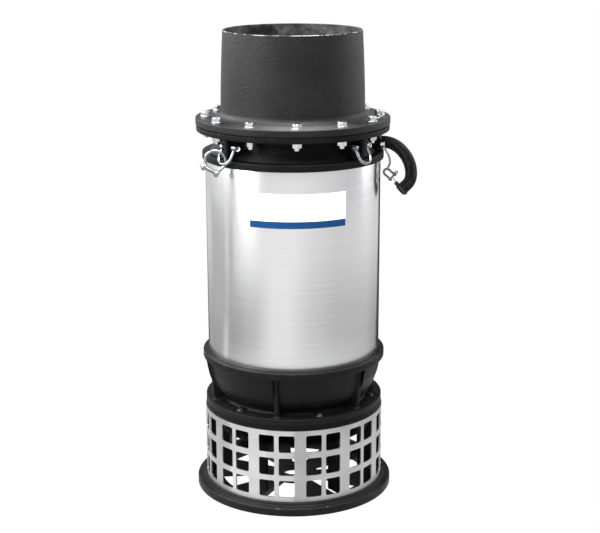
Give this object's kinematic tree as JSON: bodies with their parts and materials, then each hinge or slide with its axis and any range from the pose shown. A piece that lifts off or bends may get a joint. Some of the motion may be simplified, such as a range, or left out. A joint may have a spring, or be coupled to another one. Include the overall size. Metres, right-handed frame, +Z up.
{
  "type": "submersible axial flow pump",
  "caption": "Vertical submersible axial flow pump with flanged discharge spigot, stainless motor shell, cast casings and a perforated suction strainer.",
  "frame": {"origin": "centre of the base ring's underside, on the pump's axis", "axes": "+Z up along the pump's axis, -Y to the viewer, +X to the cable side"},
  "size_m": [0.4991, 0.4468, 1.0408],
  "materials": {
    "black_paint": "satin black paint on cast iron",
    "inner_paint": "matt black paint on cast iron",
    "shell_steel": "brushed stainless",
    "strainer_steel": "punched stainless sheet",
    "plain_steel": "turned stainless",
    "zinc_steel": "zinc plated",
    "bronze": "cast bronze",
    "rubber": "matt",
    "cable_sheath": "satin sheath",
    "black_nylon": "satin"
  },
  "bodies": {
    "pump": {"base_ring": "black_paint", "bottom_casing": "black_paint", "cable_tie": "black_nylon", "diffuser": "inner_paint", "discharge_spigot": "black_paint", "flange_gasket": "rubber", "gland_bush": "rubber", "gland_clamp": "plain_steel", "motor_head": "inner_paint", "motor_housing": "inner_paint", "motor_shell": "shell_steel", "power_cable": "cable_sheath", "propeller": "bronze", "shaft": "plain_steel", "small_shackle": "zinc_steel", "small_shackle_pin": "zinc_steel", "strainer_panel_1": "strainer_steel", "strainer_panel_2": "strainer_steel", "strainer_panel_3": "strainer_steel", "strainer_panel_4": "strainer_steel", "strainer_panel_5": "strainer_steel", "strainer_panel_6": "strainer_steel", "suction_casting": "black_paint", "support_wire": "zinc_steel", "top_casing": "black_paint"},
    "shackle_front_right": {"shackle_front_right": "zinc_steel", "shackle_pin_front_right": "zinc_steel"},
    "shackle_back_right": {"shackle_back_right": "zinc_steel", "shackle_pin_back_right": "zinc_steel"},
    "shackle_back_left": {"shackle_back_left": "zinc_steel", "shackle_pin_back_left": "zinc_steel"},
    "shackle_front_left": {"shackle_front_left": "zinc_steel", "shackle_pin_front_left": "zinc_steel", "linked_shackle": "zinc_steel", "linked_shackle_pin": "zinc_steel"}
  },
  "joints": [
    {"name": "shackle_swing_front_right", "type": "hinge", "parent": "pump", "child": "shackle_front_right", "pos_m": [0.13859, -0.13859, 0.806], "axis": [-0.7071, -0.7071, 0], "range_deg": [0, 85]},
    {"name": "shackle_swing_back_right", "type": "hinge", "parent": "pump", "child": "shackle_back_right", "pos_m": [0.13859, 0.13859, 0.806], "axis": [0.7071, -0.7071, 0], "range_deg": [0, 85]},
    {"name": "shackle_swing_back_left", "type": "hinge", "parent": "pump", "child": "shackle_back_left", "pos_m": [-0.13859, 0.13859, 0.806], "axis": [0.7071, 0.7071, 0], "range_deg": [0, 85]},
    {"name": "shackle_swing_front_left", "type": "hinge", "parent": "pump", "child": "shackle_front_left", "pos_m": [-0.13859, -0.13859, 0.806], "axis": [-0.7071, 0.7071, 0], "range_deg": [0, 40]}
  ]
}
